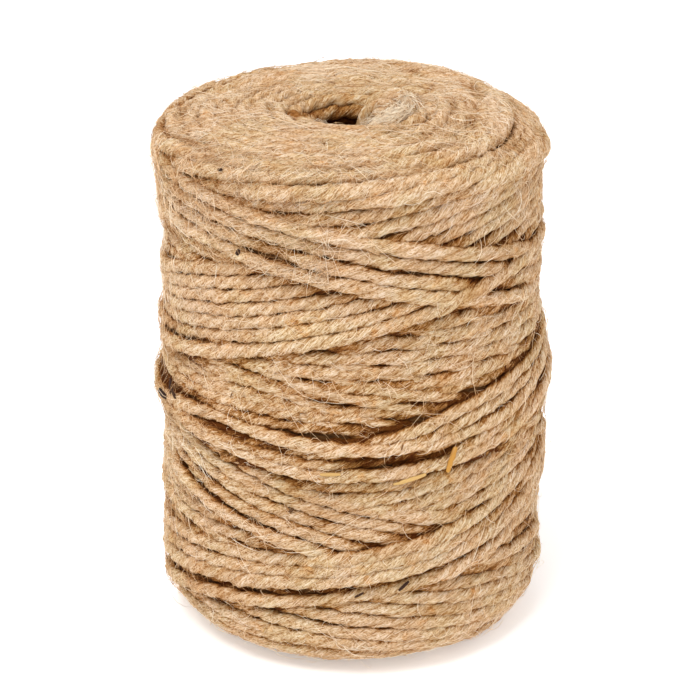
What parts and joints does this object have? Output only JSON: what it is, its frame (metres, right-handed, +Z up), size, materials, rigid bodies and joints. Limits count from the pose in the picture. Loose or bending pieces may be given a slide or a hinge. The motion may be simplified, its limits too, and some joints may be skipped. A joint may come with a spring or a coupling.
{
  "type": "ball of twine",
  "caption": "Cylindrical ball of undyed jute twine standing on end, cross-wound in slanting bands, with a dished hollow in its top and a flat foot to rest on.",
  "frame": {"origin": "middle of the flat foot that the ball stands on, at the bottom centre of its box", "axes": "+Z up along the ball's winding axis, towards the hollow; the pictured side faces -Y; +X to the right of it"},
  "size_m": [0.0932, 0.0936, 0.1258],
  "materials": {
    "jute_twine": "undyed hairy three-ply jute yarn, matte"
  },
  "bodies": {
    "root": {"twine_ball": "jute_twine"}
  },
  "joints": []
}
